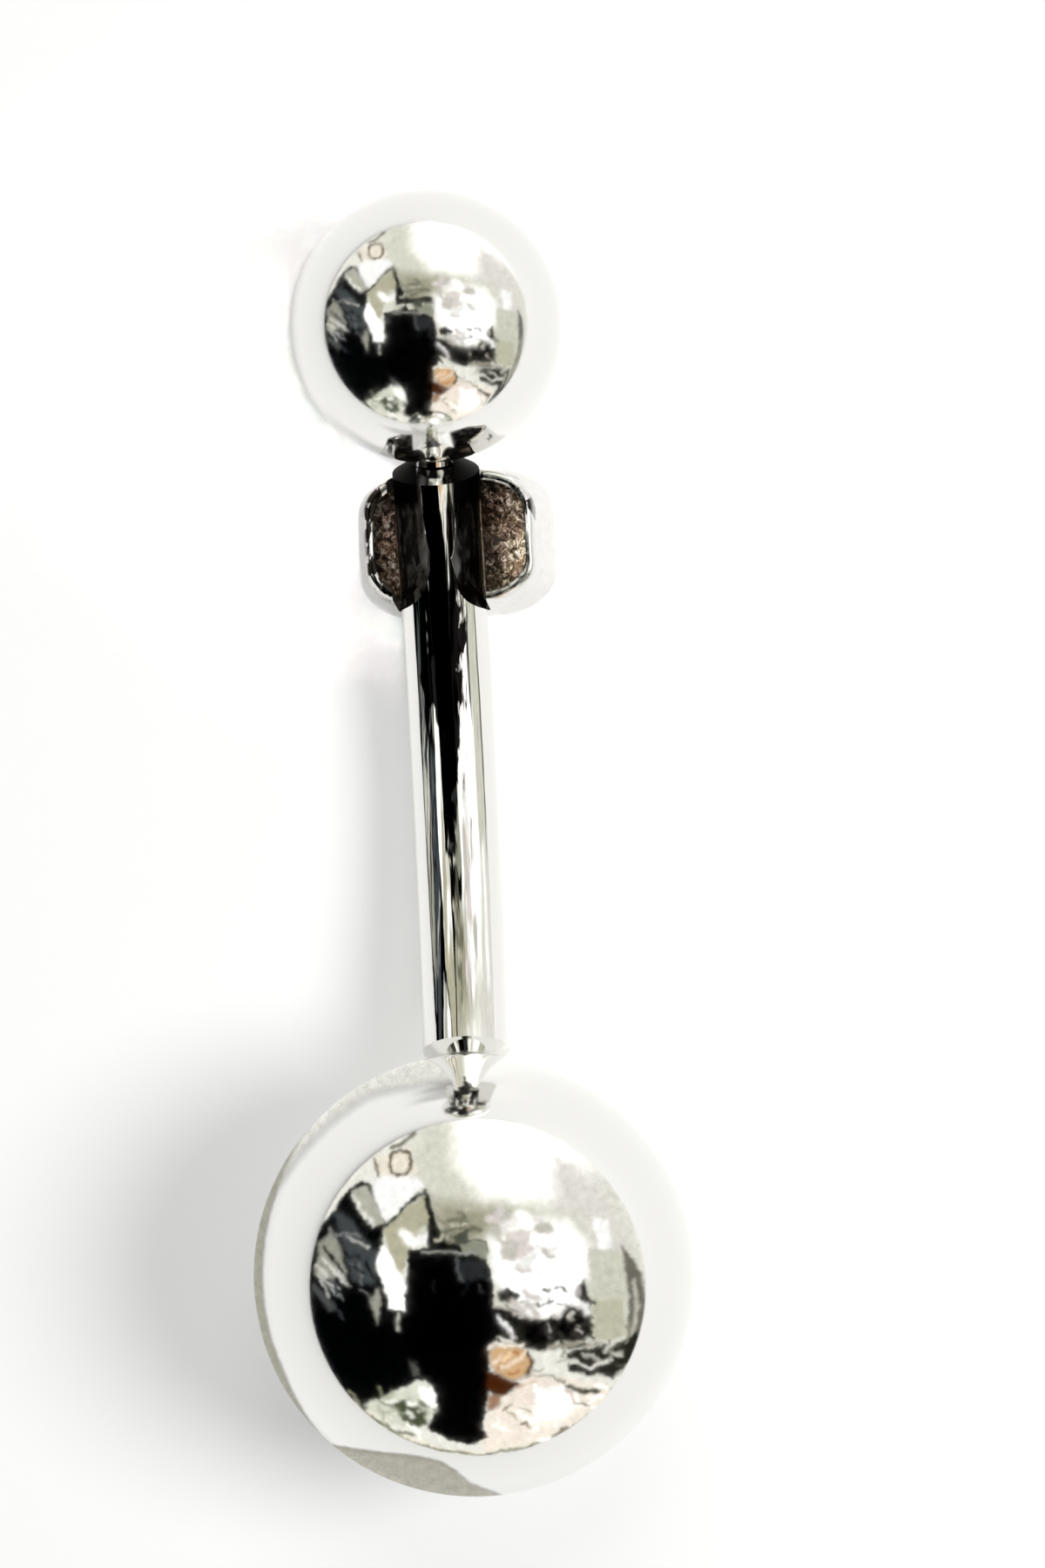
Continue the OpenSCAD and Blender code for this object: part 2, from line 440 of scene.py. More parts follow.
def mirrorBall(name, centre, radius, way):
    only()
    segments, rings = ballMesh["segments"], ballMesh["rings"]
    bpy.ops.mesh.primitive_uv_sphere_add(segments=segments, ring_count=rings, radius=radius)
    ball = named(name)
    mouth = -math.sqrt(radius**2 - ballMesh["boreRadius"] ** 2)
    editWhere(ball, lambda v: True)
    bpy.ops.mesh.bisect(plane_co=(0, 0, mouth), plane_no=(0, 0, 1), clear_inner=True)
    editWhere(ball, lambda v: v.co.z < mouth + ballMesh["pickMargin"])
    bpy.ops.mesh.extrude_region_move(TRANSFORM_OT_translate={"value": (0, 0, ballMesh["boreDepth"])})
    bpy.ops.mesh.edge_face_add()
    bpy.ops.object.mode_set(mode="OBJECT")
    ball.rotation_mode = "QUATERNION"
    ball.rotation_quaternion = way.to_track_quat("Z", "Y")
    ball.location = centre
    settle(ball)
    finishMesh(ball, 30)
    return ball


smallBall = mirrorBall("smallMirrorBall", smallCentre, smallRadius, offWay["small_ball"])
dress(smallBall, smallBallSteel, "small_ball", "ball_steel", "small_ball")
largeBall = mirrorBall("largeMirrorBall", largeCentre, largeRadius, offWay["large_ball"])
dress(largeBall, ballSteel, "large_ball", "ball_steel", "large_ball")
print("balls made")


# bent bar
barSizes = {
    "radius": 0.8 * mm,
    "bendHalfAngle": math.radians(22),
    "endTaper": 0.22 * mm,
    "seatGap": 0.08 * mm,
    "stubRadius": 0.45 * mm,
    "stubReach": 1.6 * mm,
    "sides": 96,
    "steps": 96,
    "pickMargin": 0.002 * mm,
    "pickReach": 0.9 * mm,
}

endGap = barSizes["endTaper"] + barSizes["seatGap"]
smallEnd = smallCentre - offWay["small_ball"] * (endGap + smallRadius)
largeEnd = largeCentre - offWay["large_ball"] * (endGap + largeRadius)
bendRadius = (largeEnd - smallEnd).length / 2 / math.sin(barSizes["bendHalfAngle"])
smallWay = offWay["small_ball"]
towardBend = Vector((smallWay.z, 0, -smallWay.x))
bendCentre = smallEnd + towardBend * bendRadius


def barHeight(x):  # centre line's height
    return bendCentre.z - math.sqrt(bendRadius**2 - (x - bendCentre.x) ** 2)


def barEnd(bar, end, way):  # taper and stub pulled out of one end
    margin, reach = barSizes["pickMargin"], barSizes["pickReach"]
    editWhere(bar, lambda v: abs((v.co - end).dot(way)) < margin and (v.co - end).length < reach)
    taper = way * barSizes["endTaper"]
    stubLength = barSizes["seatGap"] + barSizes["stubReach"]
    bpy.ops.mesh.extrude_region_move(TRANSFORM_OT_translate={"value": taper})
    shrink = barSizes["stubRadius"] / barSizes["radius"]
    bpy.ops.transform.resize(value=(shrink, shrink, shrink), center_override=end + taper)
    bpy.ops.mesh.extrude_region_move(TRANSFORM_OT_translate={"value": way * stubLength})
    bpy.ops.mesh.edge_face_add()
    bpy.ops.object.mode_set(mode="OBJECT")


only()
bpy.ops.mesh.primitive_circle_add(vertices=barSizes["sides"], radius=barSizes["radius"])
bar = named("bentBar")
bar.rotation_mode = "QUATERNION"
bar.rotation_quaternion = smallWay.to_track_quat("Z", "Y")
bar.location = smallEnd
settle(bar)
editWhere(bar, lambda v: True)
bpy.ops.mesh.spin(
    steps=barSizes["steps"],
    angle=2 * barSizes["bendHalfAngle"],
    center=bendCentre,
    axis=(0, 1, 0),
)
bpy.ops.object.mode_set(mode="OBJECT")
barEnd(bar, smallEnd, smallWay)
barEnd(bar, largeEnd, offWay["large_ball"])
finishMesh(bar, 20)
dress(bar, barSteel, "bar", "bar_steel", "curved_bar")
print("bar made")


# collet round the bar
colletSizes = {
    "fromBall": 3.88 * mm,
    "side": 0.24 * mm,
    "rimHalf": (1.18 * mm, 1.52 * mm),
    "frontHalf": (1.38 * mm, 1.84 * mm),
    "cornerShare": 0.6,
    "cornerSteps": 18,
    "sideCuts": 7,
    "levels": 12,
    "wall": 0.17 * mm,
    "rimRise": 1.9 * mm,
    "lipHeight": 0.14 * mm,
    "lipReach": 0.14 * mm,
    "slotGap": 0.05 * mm,
    "slotCut": (5 * mm, 4 * mm),  # length and height
    "rimSteps": 6,
    "rimBand": 0.2 * mm,  # what of the wall is dented
    "dents": 0.05 * mm,
    "dentSize": 0.35 * mm,
    "dentsInward": 0.6,
    "shadeBelowRim": 0.12 * mm,
}

colletX = smallCentre.x + colletSizes["fromBall"]
colletTop = barHeight(colletX) + colletSizes["rimRise"]


def cutBy(piece, cutter):
    only(piece)
    cut = piece.modifiers.new("cut", "BOOLEAN")
    cut.operation = "DIFFERENCE"
    cut.solver = "EXACT"
    cut.object = cutter
    bpy.ops.object.modifier_apply(modifier=cut.name)
    bpy.data.objects.remove(cutter)


def addCushion(name, steps):  # a rounded square, 2 by 2, as an open outline
    only()
    bpy.ops.mesh.primitive_plane_add(size=2)
    piece = named(name)
    editWhere(piece, lambda v: True)
    share = colletSizes["cornerShare"]
    bpy.ops.mesh.bevel(offset=share, offset_type="OFFSET", segments=steps, profile=0.5, affect="VERTICES")
    bpy.ops.mesh.delete(type="ONLY_FACE")
    bpy.ops.object.mode_set(mode="OBJECT")
    return piece


collet = addCushion("ovalCollet", colletSizes["cornerSteps"])
points = collet.data.vertices
straight = 1 - colletSizes["cornerShare"]  # half of a straight side
editWhere(collet, lambda e: (points[e.vertices[0]].co - points[e.vertices[1]].co).length > straight, "EDGE")
bpy.ops.mesh.subdivide(number_cuts=colletSizes["sideCuts"])
bpy.ops.mesh.select_all(action="SELECT")
front = colletSizes["frontHalf"]
rim = colletSizes["rimHalf"]
levels = colletSizes["levels"]
rounding = colletSizes["wall"] / 2
roundFrom = colletTop - rounding
rimSteps = colletSizes["rimSteps"]
lipHeight = colletSizes["lipHeight"]
profile = [(roundFrom * i / levels, 0) for i in range(levels + 1)]  # height, inset
for i in range(1, rimSteps):
    turn = math.pi * i / rimSteps
    profile.append((roundFrom + rounding * math.sin(turn), rounding - rounding * math.cos(turn)))
for i in range(levels, -1, -1):
    profile.append((lipHeight + (roundFrom - lipHeight) * i / levels, colletSizes["wall"]))
lipInset = colletSizes["wall"] + colletSizes["lipReach"]
profile += [(lipHeight, lipInset), (0, lipInset), (0, 0)]
nowHeight, nowHalf = 0, (1, 1)
for step, (height, inset) in enumerate(profile):
    half = [f + (r - f) * height / colletTop - inset for f, r in zip(front, rim)]
    if step:
        bpy.ops.mesh.extrude_region_move(TRANSFORM_OT_translate={"value": (0, 0, height - nowHeight)})
    value = (half[0] / nowHalf[0], half[1] / nowHalf[1], 1)
    bpy.ops.transform.resize(value=value, center_override=(0, 0, height))
    nowHeight, nowHalf = height, half
bpy.ops.object.mode_set(mode="OBJECT")
collet.location = (colletX, colletSizes["side"], 0)
settle(collet)
finishMesh(collet, 30)
rimGroup = collet.vertex_groups.new(name="rim")
rimBottom = colletTop - colletSizes["rimBand"]
rimGroup.add([v.index for v in collet.data.vertices if v.co.z > rimBottom], 1, "REPLACE")
dentTexture = bpy.data.textures.new("rimDents", "CLOUDS")
dentTexture.noise_scale = colletSizes["dentSize"]
dents = collet.modifiers.new("dents", "DISPLACE")
dents.texture = dentTexture
dents.texture_coords = "GLOBAL"
dents.vertex_group = "rim"
dents.strength = colletSizes["dents"]
dents.mid_level = colletSizes["dentsInward"]
only(collet)
bpy.ops.object.modifier_apply(modifier=dents.name)
collet.vertex_groups.clear()
only()
bpy.ops.mesh.primitive_cube_add(size=1)
slotCutter = named("slotCutter")
cutLength, cutHeight = colletSizes["slotCut"]
slotCutter.scale = (cutLength, 2 * (barSizes["radius"] + colletSizes["slotGap"]), cutHeight)
slotSlope = math.asin((bendCentre.x - colletX) / bendRadius)
slotCutter.rotation_euler = (0, slotSlope, 0)
slotUp = Vector((math.sin(slotSlope), 0, math.cos(slotSlope)))
slotCutter.location = Vector((colletX, 0, barHeight(colletX))) + slotUp * cutHeight / 2
settle(slotCutter)
cutBy(collet, slotCutter)
finishMesh(collet, 35)
dress(collet, colletSilver, "bar", "bar_steel")
# painted shade: inward faces below the rim get the dark inside colour
shade = collet.data.color_attributes.new("inside", "FLOAT_COLOR", "CORNER")
colletMiddle = Vector((colletX, colletSizes["side"], 0))
shadeTop = colletTop - colletSizes["shadeBelowRim"]
for face in collet.data.polygons:
    outward = (face.center - colletMiddle) * Vector((1, 1, 0))
    facesIn = face.normal.dot(outward) < 0 and face.center.z < shadeTop
    for i in face.loop_indices:
        shade.data[i].color = (float(facesIn),) * 3 + (1,)
print("collet made")


# crystal in the collet
crystalLow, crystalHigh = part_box("crystal")
crystalMiddle = (crystalLow + crystalHigh) / 2
crystalHalf = (crystalHigh - crystalLow) / 2
crystalLevels = (  # height over the table, share of the girdle, steps round a corner
    (0.0, 0.58, 1),
    (0.2 * mm, 0.84, 1),
    (0.34 * mm, 1.0, 3),
    (0.39 * mm, 1.0, 3),
    (0.62 * mm, 0.68, 1),
    (2 * crystalHalf.z, 0.06, 1),
)
slices = []
for height, share, steps in crystalLevels:
    outline = addCushion("slice", steps)
    outline.scale = (share, share, 1)
    outline.location = (0, 0, height / mm)
    settle(outline)
    slices.append(outline)
only(*slices)
bpy.ops.object.join()
crystal = named("brownCrystal")
editWhere(crystal, lambda v: True)
bpy.ops.mesh.convex_hull()
bpy.ops.mesh.tris_convert_to_quads(face_threshold=0.02, shape_threshold=3.2)
bpy.ops.object.mode_set(mode="OBJECT")
crystal.scale = (crystalHalf.x, crystalHalf.y, mm)
crystal.location = (crystalMiddle.x, crystalMiddle.y, crystalLow.z)
settle(crystal)
only(crystal)
bpy.ops.object.shade_flat()
dress(crystal, crystalBrown, "bar", "crystal", "crystal")
print("crystal made", len(crystal.data.polygons), "facets")


# floor and lights
stageLook = {
    "floorSize": 1.2,
    "worldLight": 0.24,
    "softLights": (  # name, way to it (picture right, picture up, height), distance, size, power, shadow
        ("keyFromRight", (0.55, 0.0, 0.8), 250 * mm, 110 * mm, 0.333, True),
        ("softFromTop", (0.0, 0.5, 0.85), 250 * mm, 120 * mm, 0.096, True),
        ("fillFromAbove", (0.0, 0.1, 1.0), 250 * mm, 100 * mm, 0.207, False),
    ),
    "beams": (  # name, place, height, size, spread in degrees, power
        ("beamIntoCollet", (colletX, colletSizes["side"]), 80 * mm, 2.4 * mm, 3, 0.00005),
        ("beamBesideSmallBall", worldAt((262, 350))[:2], 250 * mm, 9 * mm, 0.9, 0.00014),
        ("beamBesideCollet", worldAt((335, 600))[:2], 250 * mm, 5 * mm, 1.0, 0.00004),
    ),
}

only()
bpy.ops.mesh.primitive_plane_add(size=stageLook["floorSize"])
floor = named("paleFloor")
floor.data.materials.append(floorPale)

world = bpy.data.worlds.new("softWorld")
bpy.context.scene.world = world
world.use_nodes = True
background = world.node_tree.nodes["Background"]
background.inputs["Color"].default_value = (1, 1, 1, 1)
background.inputs["Strength"].default_value = stageLook["worldLight"]


def addLamp(name, size, power):  # a disk that shines straight down until it is turned
    lampData = bpy.data.lights.new(name, "AREA")
    lampData.shape = "DISK"
    lampData.size = size
    lampData.energy = power
    lamp = bpy.data.objects.new(name, lampData)
    bpy.context.scene.collection.objects.link(lamp)
    lamp.visible_glossy = False
    return lamp


pictureRight = Vector((tilt.x, tilt.y, 0))
pictureUp = Vector((-tilt.y, tilt.x, 0))
for name, way, distance, size, power, shadow in stageLook["softLights"]:
    lamp = addLamp(name, size, power)
    lamp.data.use_shadow = shadow
    toLamp = (pictureRight * way[0] + pictureUp * way[1] + Vector((0, 0, way[2]))).normalized()
    lamp.location = toLamp * distance
    lamp.rotation_mode = "QUATERNION"
    lamp.rotation_quaternion = toLamp.to_track_quat("Z", "Y")
for name, place, height, size, spread, power in stageLook["beams"]:
    lamp = addLamp(name, size, power)
    lamp.data.spread = math.radians(spread)
    lamp.location = (*place, height)
print("floor and lights set")


# the room that the steel mirrors: zones drawn on a shell, each where the large ball shows it
roomZones = {  # tone, softness, line width (0 for a filled zone), corners in photo pixels
    "backdrop": ((0.93, 0.93, 0.9), 1, 0, ((340, 1270), (760, 1270), (760, 1690), (340, 1690))),
    "greyWall": ((0.84, 0.84, 0.79), 16, 0, ((480, 1296), (512, 1288), (560, 1300), (548, 1345),
        (560, 1372), (640, 1385), (700, 1360), (738, 1450), (745, 1540), (560, 1540), (470, 1440),
        (440, 1440), (445, 1400), (470, 1330))),
    "dusk": ((0.63, 0.62, 0.54), 14, 0, ((495, 1378), (560, 1384), (610, 1395), (560, 1412), (545, 1432),
        (508, 1424))),
    "lampGlow": ((1.25, 1.25, 1.24), 30, 0, ((535, 1270), (650, 1275), (668, 1340), (630, 1366),
        (560, 1362), (534, 1330))),
    "paleRight": ((0.87, 0.86, 0.84), 20, 0, ((632, 1318), (660, 1328), (700, 1370), (728, 1440),
        (690, 1440), (670, 1400), (640, 1392), (628, 1350))),
    "windowGlow": ((1.15, 1.15, 1.15), 13, 0, ((565, 1425), (605, 1400), (650, 1405), (672, 1430),
        (672, 1470), (655, 1492), (630, 1512), (605, 1503), (570, 1470))),
    "rosyPanel": ((0.86, 0.83, 0.81), 4, 0, ((578, 1415), (612, 1410), (606, 1448), (575, 1447))),
    "greyPanelTop": ((0.8, 0.8, 0.75), 3, 0, ((676, 1432), (712, 1436), (717, 1492), (680, 1492))),
    "greyPanelFoot": ((0.74, 0.74, 0.66), 2, 0, ((682, 1492), (716, 1490), (718, 1530), (704, 1539),
        (682, 1537))),
    "brightPanel": ((1.0, 1.0, 1.0), 3, 0, ((680, 1398), (698, 1400), (702, 1432), (688, 1436))),
    "darkRightEdge": ((0.42, 0.41, 0.38), 3, 0, ((714, 1430), (722, 1438), (737, 1462), (743, 1495),
        (741, 1530), (730, 1560), (720, 1545), (722, 1490), (717, 1450))),
    "rightEdgeGleam": ((0.72, 0.71, 0.66), 2, 5, ((728, 1470), (732, 1500), (726, 1535))),
    "creamPlate": ((0.94, 0.91, 0.85), 2, 0, ((430, 1330), (470, 1316), (480, 1345), (440, 1366))),
    "plateRing": ((0.36, 0.31, 0.24), 1.5, 4, ((447, 1334), (450, 1324), (460, 1320), (470, 1325),
        (473, 1335), (469, 1345), (459, 1349), (450, 1345), (447, 1334))),
    "plateTopLine": ((0.45, 0.43, 0.38), 1.5, 4, ((450, 1317), (462, 1312), (476, 1301))),
    "plateSideLine": ((0.5, 0.47, 0.42), 1.5, 4, ((431, 1332), (434, 1350), (440, 1363))),
    "darkLeft": ((0.02, 0.025, 0.03), 1.5, 0, ((400, 1364), (412, 1357), (426, 1359), (442, 1404),
        (438, 1432), (430, 1452), (438, 1470), (447, 1503), (470, 1503), (500, 1560), (500, 1592),
        (488, 1583), (445, 1600), (420, 1618), (385, 1598), (352, 1550), (345, 1480), (350, 1430),
        (385, 1388))),
    "leftSlab": ((0.7, 0.7, 0.65), 1.5, 0, ((404, 1366), (421, 1361), (432, 1385), (440, 1404), (432, 1409),
        (418, 1394))),
    "slabGleam": ((0.9, 0.9, 0.87), 1.5, 5, ((406, 1373), (416, 1392), (430, 1408))),
    "leftSlate": ((0.26, 0.28, 0.29), 4, 0, ((384, 1392), (396, 1392), (432, 1440), (430, 1475),
        (405, 1470), (396, 1440))),
    "leftPatch": ((0.6, 0.6, 0.56), 3, 0, ((366, 1428), (380, 1412), (388, 1425), (398, 1462), (380, 1468),
        (362, 1462))),
    "patchCrease": ((0.06, 0.07, 0.07), 2, 4, ((372, 1432), (384, 1446), (392, 1462))),
    "patchGleam": ((0.86, 0.86, 0.84), 2, 4, ((372, 1446), (384, 1460), (398, 1473))),
    "lowerGleam": ((0.8, 0.8, 0.77), 2, 5, ((364, 1452), (376, 1468), (386, 1486))),
    "lowerSmudge": ((0.3, 0.31, 0.31), 3, 8, ((362, 1478), (372, 1492), (380, 1500))),
    "whiteBand": ((1.0, 1.0, 1.0), 3, 0, ((432, 1352), (478, 1350), (488, 1362), (470, 1376), (450, 1398),
        (440, 1400), (428, 1372))),
    "wedge": ((0.7, 0.69, 0.6), 2, 0, ((440, 1412), (470, 1385), (488, 1370), (497, 1402), (482, 1412),
        (470, 1440), (462, 1462), (450, 1450))),
    "wedgeSpot": ((1.0, 1.0, 1.0), 1.5, 0, ((472, 1424), (492, 1414), (492, 1428), (474, 1432))),
    "whiteStrip": ((1.1, 1.1, 1.1), 1.5, 0, ((440, 1430), (452, 1448), (458, 1462), (464, 1472),
        (466, 1498), (464, 1503), (448, 1503), (443, 1482), (436, 1462), (432, 1446))),
    "greySliver": ((0.62, 0.62, 0.58), 2, 0, ((434, 1478), (438, 1490), (434, 1520), (430, 1508),
        (424, 1490))),
    "sliverTail": ((0.75, 0.75, 0.72), 1.5, 3, ((457, 1508), (457, 1528))),
    "wedgeOutline": ((0.03, 0.03, 0.02), 1.2, 4, ((438, 1411), (456, 1396), (474, 1376), (488, 1368),
        (493, 1380), (499, 1405), (508, 1428))),
    "wedgeFoot": ((0.03, 0.03, 0.02), 1.5, 0, ((486, 1367), (493, 1376), (500, 1402), (512, 1424),
        (560, 1424), (560, 1436), (490, 1438), (492, 1418), (491, 1396))),
    "duskLine": ((0.3, 0.31, 0.26), 5, 5, ((508, 1416), (524, 1408), (548, 1412))),
    "brightTop": ((1.2, 1.2, 1.2), 7, 9, ((596, 1396), (606, 1400))),
    "brightRight": ((1.2, 1.2, 1.2), 8, 14, ((648, 1438), (655, 1452))),
    "brightMiddle": ((1.2, 1.2, 1.2), 7, 10, ((626, 1462), (632, 1478))),
    "brightWedge": ((1.15, 1.15, 1.15), 6, 8, ((464, 1416), (470, 1424))),
    "darkHeap": ((0.12, 0.12, 0.1), 2, 0, ((567, 1500), (590, 1504), (612, 1515), (640, 1512), (652, 1502),
        (668, 1496), (662, 1476), (672, 1468), (679, 1500), (681, 1532), (660, 1541), (640, 1540),
        (622, 1552), (600, 1546), (588, 1538), (570, 1534))),
    "heapLeft": ((0.02, 0.02, 0.03), 3, 0, ((600, 1520), (625, 1516), (630, 1540), (605, 1546))),
    "heapRight": ((0.02, 0.02, 0.03), 3, 0, ((636, 1515), (660, 1508), (664, 1535), (640, 1538))),
    "heapPost": ((0.03, 0.03, 0.03), 1.5, 5, ((668, 1478), (674, 1505), (677, 1530))),
    "greyPost": ((0.7, 0.68, 0.67), 2, 6, ((664, 1478), (664, 1500))),
    "smallDark": ((0.12, 0.1, 0.06), 1.5, 0, ((571, 1484), (584, 1478), (598, 1489), (588, 1496),
        (574, 1493))),
    "heapGleam": ((0.97, 0.97, 0.97), 1.5, 5, ((567, 1511), (579, 1518), (589, 1535))),
    "heapTopLine": ((0.7, 0.68, 0.66), 1.5, 3, ((568, 1500), (596, 1507), (612, 1514))),
    "heapSpark": ((0.8, 0.78, 0.76), 1.5, 3, ((628, 1520), (632, 1534))),
    "greyShelf": ((0.6, 0.58, 0.52), 2, 6, ((632, 1546), (660, 1543), (690, 1541))),
    "darkShelf": ((0.13, 0.13, 0.1), 2, 0, ((650, 1552), (690, 1545), (715, 1538), (735, 1528), (732, 1560),
        (715, 1577), (690, 1581), (652, 1574))),
    "shelfGleam": ((0.88, 0.87, 0.84), 1.5, 4, ((656, 1563), (678, 1570), (704, 1562))),
    "shelfGrey": ((0.65, 0.66, 0.62), 1.5, 5, ((700, 1562), (712, 1552))),
    "creamFoot": ((0.97, 0.93, 0.88), 2, 0, ((575, 1606), (600, 1590), (612, 1577), (640, 1580),
        (702, 1590), (690, 1615), (655, 1643), (604, 1664), (556, 1668), (552, 1650), (560, 1625))),
    "rosyFoot": ((0.95, 0.9, 0.86), 6, 0, ((590, 1590), (612, 1578), (640, 1590), (610, 1612),
        (588, 1606))),
    "whiteFoot": ((1.06, 1.06, 1.05), 5, 0, ((618, 1596), (655, 1590), (668, 1612), (640, 1636),
        (612, 1630))),
    "footLine": ((0.52, 0.52, 0.46), 1.5, 3, ((606, 1580), (632, 1579), (648, 1587))),
    "footDark": ((0.24, 0.25, 0.19), 2, 6, ((652, 1592), (668, 1597), (688, 1596))),
    "greenFoot": ((0.85, 0.86, 0.8), 2, 0, ((418, 1612), (445, 1601), (480, 1589), (498, 1590), (502, 1618),
        (488, 1638), (470, 1640), (440, 1630))),
    "whiteCorner": ((1.05, 1.05, 1.04), 2, 0, ((480, 1592), (500, 1592), (503, 1617), (486, 1618))),
    "darkGreen": ((0.28, 0.31, 0.23), 3, 0, ((448, 1610), (470, 1606), (488, 1619), (492, 1636),
        (478, 1638), (456, 1622))),
    "paleRim": ((0.95, 0.93, 0.87), 1.5, 5, ((424, 1622), (462, 1647), (502, 1663), (550, 1668),
        (600, 1661), (650, 1643), (690, 1613))),
    "darkRim": ((0.52, 0.52, 0.44), 1.2, 3, ((400, 1597), (424, 1625), (462, 1651), (502, 1665),
        (550, 1670), (600, 1663), (650, 1645), (690, 1614), (712, 1585))),
}

nearZones = {  # the same, for what hangs close over the ring
    "darkMiddle": ((0.012, 0.012, 0.016), 1.2, 0, ((470, 1435), (500, 1430), (508, 1422), (516, 1433),
        (545, 1428), (560, 1446), (566, 1470), (567, 1500), (576, 1530), (563, 1545), (562, 1590),
        (555, 1640), (560, 1652), (540, 1658), (514, 1653), (490, 1641), (502, 1620), (500, 1600),
        (494, 1582), (474, 1560), (464, 1530), (466, 1470))),
    "topGrey": ((0.55, 0.56, 0.5), 1.5, 0, ((524, 1427), (545, 1424), (559, 1426), (560, 1446),
        (534, 1438))),
    "topDark": ((0.3, 0.31, 0.28), 1.5, 0, ((522, 1418), (536, 1412), (540, 1426), (524, 1430))),
    "topLine": ((0.62, 0.62, 0.6), 1.2, 3, ((484, 1437), (520, 1438), (548, 1439))),
    "slateCorner": ((0.17, 0.18, 0.19), 4, 0, ((524, 1446), (558, 1448), (562, 1468), (528, 1468))),
    "slateLine": ((0.34, 0.35, 0.35), 2, 4, ((524, 1442), (525, 1456), (530, 1471))),
    "greyNotch": ((0.34, 0.34, 0.33), 3, 0, ((470, 1560), (478, 1565), (484, 1584), (474, 1580))),
    "orange": ((0.82, 0.67, 0.5), 3, 0, ((563, 1548), (575, 1542), (600, 1546), (612, 1560), (608, 1576),
        (592, 1585), (572, 1580), (563, 1566))),
    "orangeGleam": ((0.98, 0.95, 0.9), 2, 4, ((562, 1546), (568, 1541), (585, 1546), (600, 1544))),
    "orangeShade": ((0.28, 0.18, 0.1), 2, 5, ((606, 1552), (611, 1562), (606, 1576))),
    "brown": ((0.28, 0.15, 0.07), 3, 0, ((560, 1574), (580, 1582), (598, 1588), (584, 1600), (566, 1604),
        (558, 1594))),
    "rosyBrown": ((0.62, 0.48, 0.38), 3, 0, ((560, 1604), (578, 1600), (572, 1614), (560, 1620))),
}


zoneLook = {
    "steelMirrors": 0.86,  # share of the light
    "powers": (2.2, 3),  # from a tone to its light, up to a full tone and past it
    "bends": ((13.0, 2.4), (5.0, 1.8), (2.4, 0.9)),  # size and depth of each wave along an edge
    "grain": (2.2, 7, 0.22),  # size, height in the noise and strength
    "patches": (8, 3, 0.16),
}


def display(tone):  # a tone as seen to the light that the steel mirrors
    usual, glaring = zoneLook["powers"]
    return np.array([v ** (usual if v <= 1 else glaring) / zoneLook["steelMirrors"] for v in tone])


def distanceToLine(points, corners, closed):
    nearest = np.full(len(points), 1e9)
    last = len(corners) if closed else len(corners) - 1
    for i in range(last):
        a = np.array(corners[i], float)
        b = np.array(corners[(i + 1) % len(corners)], float)
        along = np.clip(((points - a) @ (b - a)) / ((b - a) @ (b - a)), 0, 1)
        gap = points - a - along[:, None] * (b - a)
        nearest = np.minimum(nearest, np.hypot(gap[:, 0], gap[:, 1]))
    return nearest


def insideOf(points, corners):
    inside = np.zeros(len(points), bool)
    for i, a in enumerate(corners):
        b = corners[(i + 1) % len(corners)]
        crosses = (a[1] > points[:, 1]) != (b[1] > points[:, 1])
        if a[1] == b[1]:
            continue
        crossing = a[0] + (points[:, 1] - a[1]) * (b[0] - a[0]) / (b[1] - a[1])
        inside ^= crosses & (points[:, 0] < crossing)
    return inside


def blotches(points, size, height):
    return np.array([noise.noise(Vector((p[0] / size, p[1] / size, height))) for p in points])


def drawZones(points, zones, wobble):
    colour = np.zeros((len(points), 3))
    cover = np.zeros(len(points))
    wavy = points.copy()  # hand-drawn edges, not ruled ones
    for size, depth in zoneLook["bends"]:
        wave = [noise.noise_vector(Vector((p[0] / size, p[1] / size, size))) for p in points]
        wavy += wobble * depth * np.array(wave)[:, :2]
    for tone, softness, width, corners in zones:
        spread = softness + width
        low = np.min(corners, axis=0) - spread
        high = np.max(corners, axis=0) + spread
        near = np.flatnonzero(((wavy > low) & (wavy < high)).all(axis=1))
        spots = wavy[near]
        gap = distanceToLine(spots, corners, width == 0)
        if width == 0:
            gap = np.where(insideOf(spots, corners), -gap, gap)
        else:
            gap = gap - width / 2
        share = np.clip(0.5 - gap / (2 * softness), 0, 1)
        share = share * share * (3 - 2 * share)
        colour[near] = colour[near] * (1 - share[:, None]) + display(tone) * share[:, None]
        cover[near] = cover[near] * (1 - share) + share
    unevenness = 1
    for size, height, strength in (zoneLook["grain"], zoneLook["patches"]):
        unevenness = unevenness + strength * blotches(points, size, height)
    return colour * unevenness[:, None], cover


strokeLook = {
    "slantSpread": 28,  # degrees
    "bend": 1.1,  # at most, in radians
    "bright": 0.7,  # from this tone up the edges are soft
    "soft": 3,
    "crisp": 1.4,
}


def strokes(seed, count, low, high, reach, width, slant, tones):  # short bent lines strewn over a patch
    dice = random.Random(seed)
    most = strokeLook["bend"]
    lines = []
    for _ in range(count):
        x, y = dice.uniform(low[0], high[0]), dice.uniform(low[1], high[1])
        turn = math.radians(dice.gauss(slant, strokeLook["slantSpread"]))
        bent = turn + dice.uniform(-most, most)
        length = dice.uniform(*reach)
        middle = (x + length * math.cos(turn), y + length * math.sin(turn))
        end = (middle[0] + length * math.cos(bent), middle[1] + length * math.sin(bent))
        tone = dice.choice(tones)
        softness = strokeLook["soft" if min(tone) > strokeLook["bright"] else "crisp"]
        lines.append((tone, softness, dice.uniform(*width), ((x, y), middle, end)))
    return lines


focal = photo["height"] / 2 / math.tan(cameraData.angle / 2)  # in photo pixels


def unit(vectors):
    return vectors / np.linalg.norm(vectors, axis=1)[:, None]


